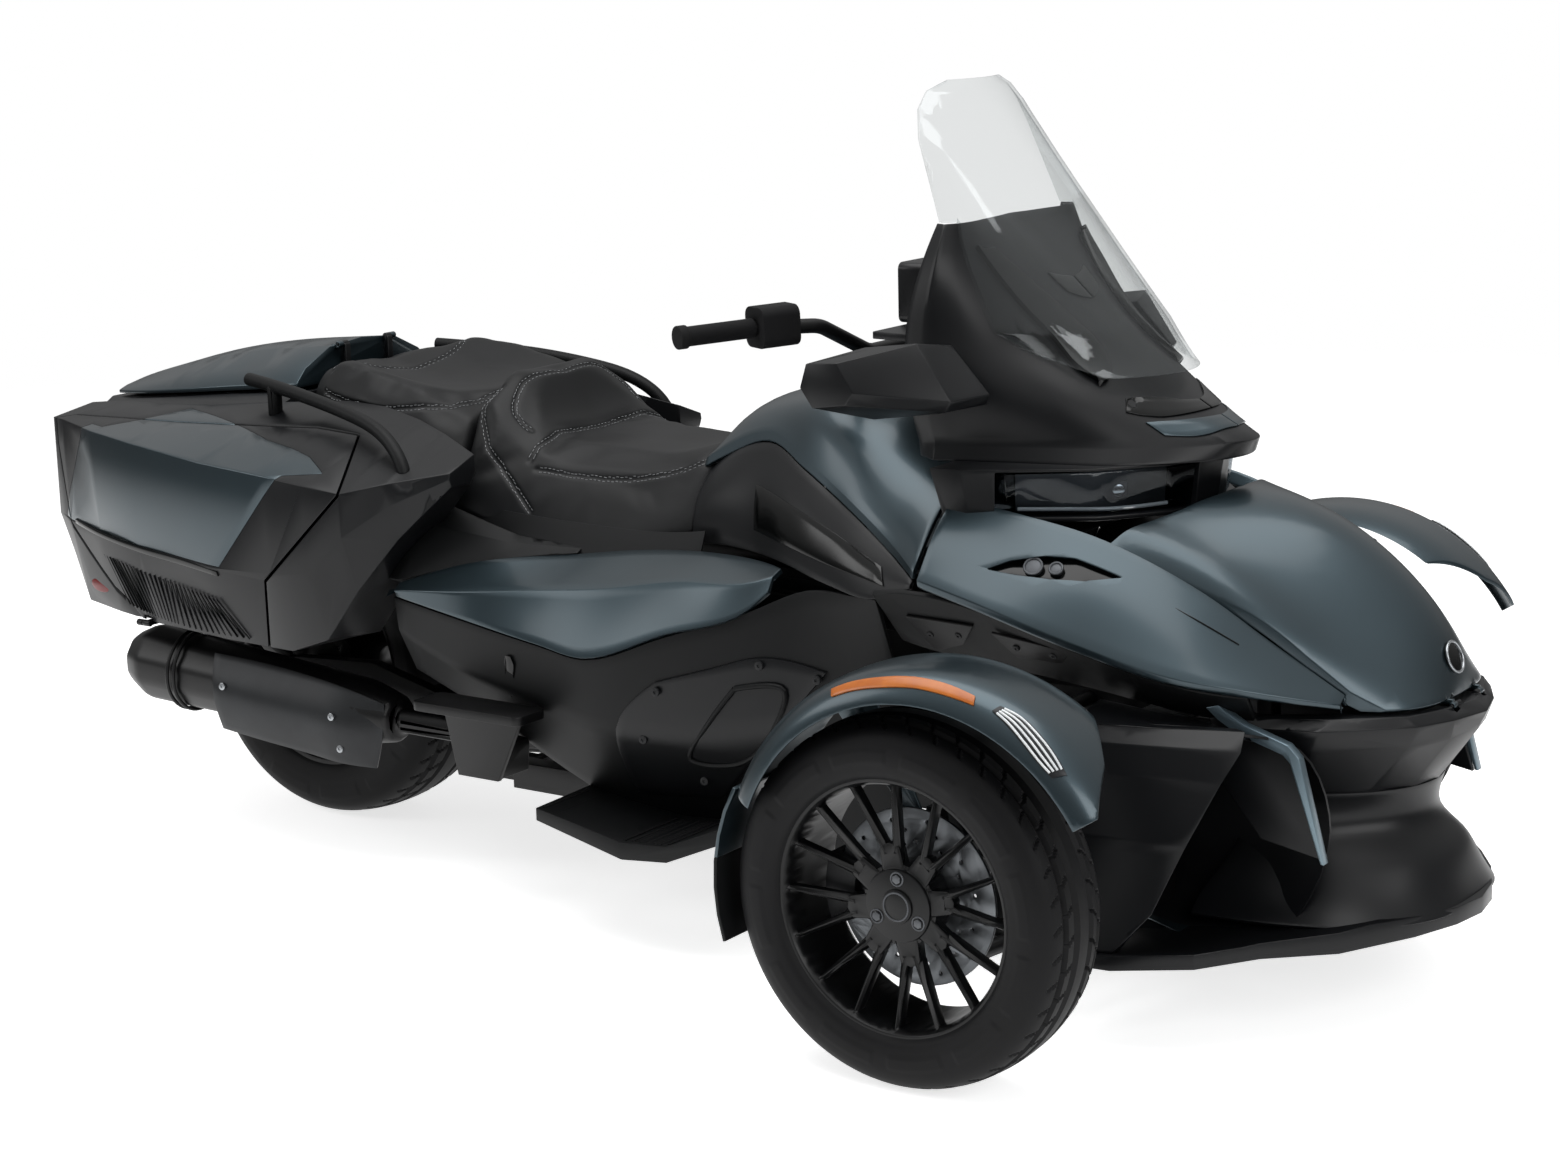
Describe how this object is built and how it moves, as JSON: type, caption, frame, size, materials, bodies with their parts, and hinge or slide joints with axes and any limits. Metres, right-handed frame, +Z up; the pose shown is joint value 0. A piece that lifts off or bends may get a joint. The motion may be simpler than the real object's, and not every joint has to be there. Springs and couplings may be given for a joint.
{
  "type": "reverse trike",
  "caption": "Touring three-wheeler with a driven rear wheel, steered front wheels, opening hood, trunk and side cases",
  "frame": {"origin": "on the floor below the middle of the vehicle's bounding box, on its symmetry plane", "axes": "+X forward, +Y to the rider's left, +Z up"},
  "size_m": [2.836, 1.554, 1.4269],
  "materials": {
    "satin_paint": "satin metallic slate blue-grey paint",
    "blade_paint": "satin silver-blue paint",
    "charcoal_plastic": "matte charcoal moulded plastic",
    "frame_steel": "black powder-coated steel",
    "engine_alloy": "cast alloy, painted dark grey",
    "muffler_steel": "satin black heat-resistant coating",
    "belt_rubber": "moulded toothed belt",
    "lens_smoke": "smoked clear lens",
    "windshield_clear": "clear polycarbonate sheet",
    "seat_vinyl": "grained black seat vinyl",
    "tail_red": "red lens",
    "tyre": "black tyre rubber",
    "wheel_black": "satin black painted cast alloy",
    "disc_steel": "drilled brake disc",
    "knuckle_alloy": "cast alloy",
    "grip_rubber": "ribbed rubber and moulded plastic"
  },
  "bodies": {
    "chassis": {"frame": "frame_steel", "engine_block": "engine_alloy", "front_suspension": "frame_steel", "rear_suspension": "frame_steel", "drive_belt": "belt_rubber", "muffler": "muffler_steel", "front_fascia": "charcoal_plastic", "front_splitter": "charcoal_plastic", "nose_beak": "charcoal_plastic", "radiators": "charcoal_plastic", "storage_tub": "charcoal_plastic", "front_panels": "satin_paint", "front_liners": "charcoal_plastic", "intake_pods": "charcoal_plastic", "air_blades": "blade_paint", "headlight_housing": "charcoal_plastic", "headlight_lenses": "lens_smoke", "upper_fairing": "charcoal_plastic", "windshield": "windshield_clear", "mirrors": "charcoal_plastic", "instrument_panel": "charcoal_plastic", "tank_cover": "satin_paint", "knee_panels": "charcoal_plastic", "side_panels": "satin_paint", "lower_covers": "charcoal_plastic", "footboards": "charcoal_plastic", "passenger_footboards": "charcoal_plastic", "driver_seat": "seat_vinyl", "passenger_seat": "seat_vinyl", "tail_body": "charcoal_plastic", "tail_side_panels": "charcoal_plastic", "saddlebags": "charcoal_plastic", "grab_handles": "charcoal_plastic", "rear_fender": "charcoal_plastic", "tail_lights": "tail_red"},
    "hood": {"hood": "satin_paint"},
    "trunk_lid": {"trunk_lid": "satin_paint"},
    "saddlebag_door_right": {"saddlebag_door_right": "satin_paint"},
    "saddlebag_door_left": {"saddlebag_door_left": "satin_paint"},
    "steering": {"handlebar": "frame_steel", "handlebar_controls": "grip_rubber"},
    "steering_rack": {"steering_rack": "frame_steel"},
    "knuckle_right": {"knuckle_right": "knuckle_alloy", "fender_right": "satin_paint"},
    "knuckle_left": {"knuckle_left": "knuckle_alloy", "fender_left": "satin_paint"},
    "front_wheel_right": {"front_tyre_right": "tyre", "front_rim_right": "wheel_black", "front_disc_right": "disc_steel"},
    "front_wheel_left": {"front_tyre_left": "tyre", "front_rim_left": "wheel_black", "front_disc_left": "disc_steel"},
    "rear_wheel": {"rear_tyre": "tyre", "rear_rim": "wheel_black"}
  },
  "joints": [
    {"name": "handlebar_steer", "type": "hinge", "parent": "chassis", "child": "steering", "pos_m": [0.33, 0, 1.01], "axis": [-0.4415, 0, 0.8972], "range_deg": [-25, 25]},
    {"name": "rack_slide", "type": "slide", "parent": "chassis", "child": "steering_rack", "axis": [0, 1, 0], "range_m": [-0.03862, 0.03862]},
    {"name": "kingpin_right", "type": "hinge", "parent": "chassis", "child": "knuckle_right", "pos_m": [0.814, -0.59, 0.281], "axis": [0, 0, 1], "range_deg": [-20.5, 20.5]},
    {"name": "kingpin_left", "type": "hinge", "parent": "chassis", "child": "knuckle_left", "pos_m": [0.814, 0.59, 0.281], "axis": [0, 0, 1], "range_deg": [-20.5, 20.5]},
    {"name": "front_wheel_right_spin", "type": "hinge", "parent": "knuckle_right", "child": "front_wheel_right", "pos_m": [0.814, -0.668, 0.281], "axis": [0, 1, 0], "continuous": true},
    {"name": "front_wheel_left_spin", "type": "hinge", "parent": "knuckle_left", "child": "front_wheel_left", "pos_m": [0.814, 0.668, 0.281], "axis": [0, 1, 0], "continuous": true},
    {"name": "rear_wheel_spin", "type": "hinge", "parent": "chassis", "child": "rear_wheel", "pos_m": [-0.9, 0, 0.303], "axis": [0, 1, 0], "continuous": true},
    {"name": "hood_hinge", "type": "hinge", "parent": "chassis", "child": "hood", "pos_m": [1.385, 0, 0.504], "axis": [0, 1, 0], "range_deg": [0, 60]},
    {"name": "trunk_lid_hinge", "type": "hinge", "parent": "chassis", "child": "trunk_lid", "pos_m": [-0.822, 0, 0.925], "axis": [0, 1, 0], "range_deg": [0, 55]},
    {"name": "saddlebag_door_right_hinge", "type": "hinge", "parent": "chassis", "child": "saddlebag_door_right", "pos_m": [-0.9, -0.404, 0.432], "axis": [1, 0, 0], "range_deg": [0, 50]},
    {"name": "saddlebag_door_left_hinge", "type": "hinge", "parent": "chassis", "child": "saddlebag_door_left", "pos_m": [-0.9, 0.404, 0.432], "axis": [-1, 0, 0], "range_deg": [0, 50]}
  ],
  "couplings": [
    {"joint": "kingpin_right", "follows": "handlebar_steer", "ratio": 0.8},
    {"joint": "kingpin_left", "follows": "handlebar_steer", "ratio": 0.8},
    {"joint": "rack_slide", "follows": "handlebar_steer", "m_per_rad": -0.086224}
  ]
}
